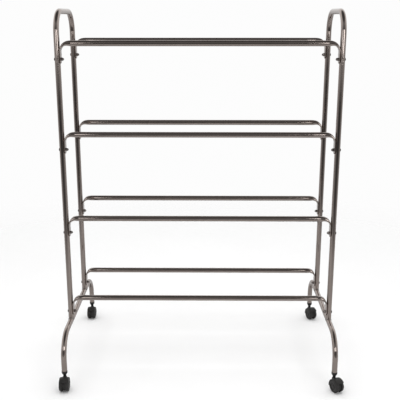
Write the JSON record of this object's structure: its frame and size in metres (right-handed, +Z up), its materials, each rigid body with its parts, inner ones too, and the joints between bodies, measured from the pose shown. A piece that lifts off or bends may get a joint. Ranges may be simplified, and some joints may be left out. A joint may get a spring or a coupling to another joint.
{
  "type": "rolling clothes rack",
  "caption": "Free-standing rolling clothes rack: hooped chrome tube end frames on arched bases with swivel casters, joined by tiers of front and rear hanging rails.",
  "frame": {"origin": "on the floor under the casters, midway between the four legs", "axes": "+X along the rails towards the right end frame, +Y from the front rails to the rear rails, +Z up"},
  "size_m": [0.9812, 0.6442, 1.2775],
  "materials": {
    "chrome_tube": "polished",
    "dark_fasteners": "satin",
    "bright_steel": "satin",
    "black_steel": "satin",
    "black_nylon": "matte",
    "wheel_nylon": "satin"
  },
  "bodies": {
    "frame": {"left_hoop": "chrome_tube", "right_hoop": "chrome_tube", "left_base": "chrome_tube", "right_base": "chrome_tube", "bottom_front_rail": "chrome_tube", "bottom_rear_rail": "chrome_tube", "lower_front_rail": "chrome_tube", "lower_rear_rail": "chrome_tube", "upper_front_rail": "chrome_tube", "upper_rear_rail": "chrome_tube", "top_front_rail": "chrome_tube", "top_rear_rail": "chrome_tube", "left_rail_screws": "dark_fasteners", "right_rail_screws": "dark_fasteners", "left_cap_nuts": "dark_fasteners", "right_cap_nuts": "dark_fasteners", "front_left_socket": "black_nylon", "front_left_stem": "black_steel", "front_left_grip_ring": "bright_steel", "front_right_socket": "black_nylon", "front_right_stem": "black_steel", "front_right_grip_ring": "bright_steel", "rear_left_socket": "black_nylon", "rear_left_stem": "black_steel", "rear_left_grip_ring": "bright_steel", "rear_right_socket": "black_nylon", "rear_right_stem": "black_steel", "rear_right_grip_ring": "bright_steel"},
    "front_left_caster": {"front_left_hood": "black_nylon", "front_left_axle": "bright_steel"},
    "front_left_left_wheel_body": {"front_left_left_wheel": "wheel_nylon"},
    "front_left_right_wheel_body": {"front_left_right_wheel": "wheel_nylon"},
    "front_right_caster": {"front_right_hood": "black_nylon", "front_right_axle": "bright_steel"},
    "front_right_left_wheel_body": {"front_right_left_wheel": "wheel_nylon"},
    "front_right_right_wheel_body": {"front_right_right_wheel": "wheel_nylon"},
    "rear_left_caster": {"rear_left_hood": "black_nylon", "rear_left_axle": "bright_steel"},
    "rear_left_left_wheel_body": {"rear_left_left_wheel": "wheel_nylon"},
    "rear_left_right_wheel_body": {"rear_left_right_wheel": "wheel_nylon"},
    "rear_right_caster": {"rear_right_hood": "black_nylon", "rear_right_axle": "bright_steel"},
    "rear_right_left_wheel_body": {"rear_right_left_wheel": "wheel_nylon"},
    "rear_right_right_wheel_body": {"rear_right_right_wheel": "wheel_nylon"}
  },
  "joints": [
    {"name": "front_left_swivel", "type": "hinge", "parent": "frame", "child": "front_left_caster", "pos_m": [-0.46655, -0.295, 0.036], "axis": [0, 0, 1], "continuous": true},
    {"name": "front_left_left_wheel_spin", "type": "hinge", "parent": "front_left_caster", "child": "front_left_left_wheel_body", "pos_m": [-0.46599, -0.31099, 0.0225], "axis": [0.9994, 0.0349, 0], "continuous": true},
    {"name": "front_left_right_wheel_spin", "type": "hinge", "parent": "front_left_caster", "child": "front_left_right_wheel_body", "pos_m": [-0.46599, -0.31099, 0.0225], "axis": [0.9994, 0.0349, 0], "continuous": true},
    {"name": "front_right_swivel", "type": "hinge", "parent": "frame", "child": "front_right_caster", "pos_m": [0.46655, -0.295, 0.036], "axis": [0, 0, 1], "continuous": true},
    {"name": "front_right_left_wheel_spin", "type": "hinge", "parent": "front_right_caster", "child": "front_right_left_wheel_body", "pos_m": [0.47381, -0.30926, 0.0225], "axis": [0.891, 0.454, 0], "continuous": true},
    {"name": "front_right_right_wheel_spin", "type": "hinge", "parent": "front_right_caster", "child": "front_right_right_wheel_body", "pos_m": [0.47381, -0.30926, 0.0225], "axis": [0.891, 0.454, 0], "continuous": true},
    {"name": "rear_left_swivel", "type": "hinge", "parent": "frame", "child": "rear_left_caster", "pos_m": [-0.46655, 0.295, 0.036], "axis": [0, 0, 1], "continuous": true},
    {"name": "rear_left_left_wheel_spin", "type": "hinge", "parent": "rear_left_caster", "child": "rear_left_left_wheel_body", "pos_m": [-0.46683, 0.279, 0.0225], "axis": [0.9998, -0.0175, 0], "continuous": true},
    {"name": "rear_left_right_wheel_spin", "type": "hinge", "parent": "rear_left_caster", "child": "rear_left_right_wheel_body", "pos_m": [-0.46683, 0.279, 0.0225], "axis": [0.9998, -0.0175, 0], "continuous": true},
    {"name": "rear_right_swivel", "type": "hinge", "parent": "frame", "child": "rear_right_caster", "pos_m": [0.46655, 0.295, 0.036], "axis": [0, 0, 1], "continuous": true},
    {"name": "rear_right_left_wheel_spin", "type": "hinge", "parent": "rear_right_caster", "child": "rear_right_left_wheel_body", "pos_m": [0.47254, 0.28017, 0.0225], "axis": [0.9272, 0.3746, 0], "continuous": true},
    {"name": "rear_right_right_wheel_spin", "type": "hinge", "parent": "rear_right_caster", "child": "rear_right_right_wheel_body", "pos_m": [0.47254, 0.28017, 0.0225], "axis": [0.9272, 0.3746, 0], "continuous": true}
  ]
}
